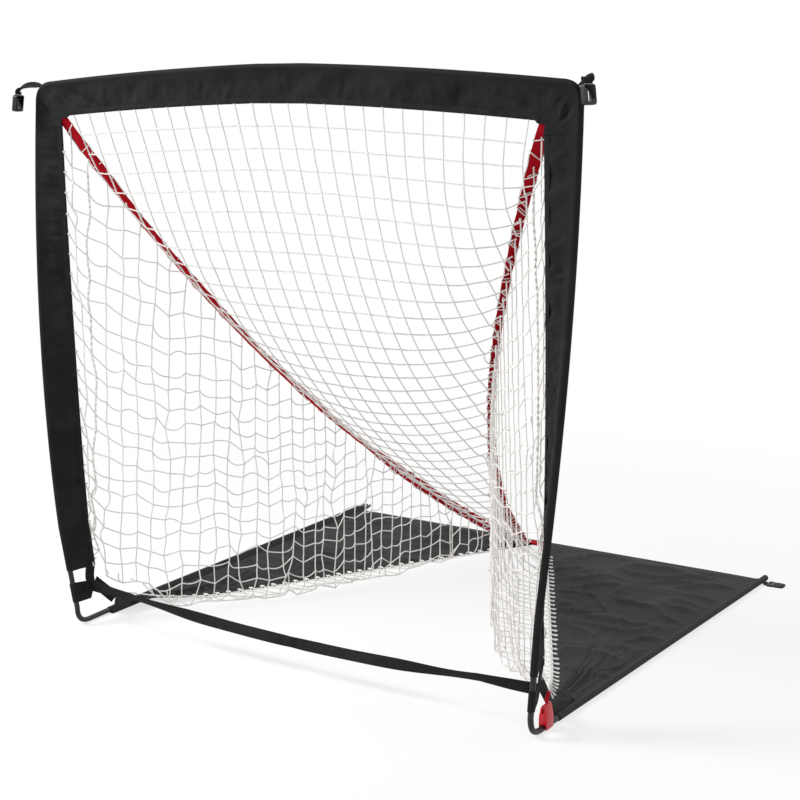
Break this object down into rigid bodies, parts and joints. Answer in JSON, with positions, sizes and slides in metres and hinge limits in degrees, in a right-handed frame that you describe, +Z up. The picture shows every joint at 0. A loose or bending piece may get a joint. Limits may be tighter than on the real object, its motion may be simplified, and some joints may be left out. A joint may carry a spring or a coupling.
{
  "type": "portable lacrosse goal",
  "caption": "Portable youth lacrosse goal: bowed pole arch in black cloth sleeves, white net panels, red ridge straps, two flat ground wings and side-release buckles.",
  "frame": {"origin": "on the ground, in the middle of the goal from side to side and from front to back", "axes": "+X to the right seen from the shooter, +Y from the mouth to the back, +Z up"},
  "size_m": [1.4706, 1.3498, 1.3308],
  "materials": {
    "tube": "black coated steel tube, satin",
    "pole": "black glass-fibre rod",
    "sleeve": "black woven polyester, double",
    "wing": "charcoal woven polyester with a coated back",
    "webbing": "black polyester webbing",
    "red_webbing": "red polyester webbing",
    "clip": "red moulded plastic",
    "net": "white knotted twine",
    "rope": "white braided rope",
    "buckle": "black moulded plastic"
  },
  "bodies": {
    "goal": {"corner_tube_left": "tube", "corner_tube_right": "tube", "upright_pole_left": "pole", "upright_pole_right": "pole", "base_pole_left": "pole", "base_pole_right": "pole", "top_elbow_left": "tube", "top_elbow_right": "tube", "crossbar_pole_left": "pole", "crossbar_pole_right": "pole", "crossbar_ferrule": "tube", "upright_sleeve_left": "sleeve", "upright_sleeve_right": "sleeve", "crossbar_sleeve": "sleeve", "cuff_left": "webbing", "cuff_right": "webbing", "gusset_left": "webbing", "gusset_right": "webbing", "wing_left": "wing", "wing_right": "wing", "wing_tab_left": "webbing", "wing_tab_right": "webbing", "ridge_strap_left": "red_webbing", "ridge_strap_right": "red_webbing", "net_side_left": "net", "net_side_right": "net", "lacing_left": "rope", "lacing_right": "rope", "line_strap": "webbing", "net_back": "net", "top_strap_left": "webbing", "top_strap_right": "webbing"},
    "clip": {"net_clip": "clip", "clip_strap": "red_webbing"},
    "top_left": {"top_buckle_left": "buckle"},
    "top_right": {"top_buckle_right": "buckle"},
    "rear_left": {"rear_strap_left": "webbing", "rear_buckle_left": "buckle"},
    "rear_right": {"rear_strap_right": "webbing", "rear_buckle_right": "buckle"}
  },
  "joints": [
    {"name": "clip_turn", "type": "hinge", "parent": "goal", "child": "clip", "pos_m": [0.62456, -0.57315, 0.00693], "axis": [0.0239, 0.9995, 0.0229], "range_deg": [0, 15]},
    {"name": "top_left_swing", "type": "hinge", "parent": "goal", "child": "top_left", "pos_m": [-0.722, -0.65765, 1.26734], "axis": [-0.2425, 0.9701, 0], "range_deg": [-15, 35]},
    {"name": "top_right_swing", "type": "hinge", "parent": "goal", "child": "top_right", "pos_m": [0.722, -0.64665, 1.28734], "axis": [0.2425, 0.9701, 0], "range_deg": [-35, 15]},
    {"name": "rear_left_lift", "type": "hinge", "parent": "goal", "child": "rear_left", "pos_m": [-0.653, 0.61876, 0.00225], "axis": [0.9806, 0.1961, 0], "range_deg": [0, 70]},
    {"name": "rear_right_lift", "type": "hinge", "parent": "goal", "child": "rear_right", "pos_m": [0.661, 0.58535, 0.00575], "axis": [0.025, -0.9997, 0], "range_deg": [0, 80]}
  ]
}
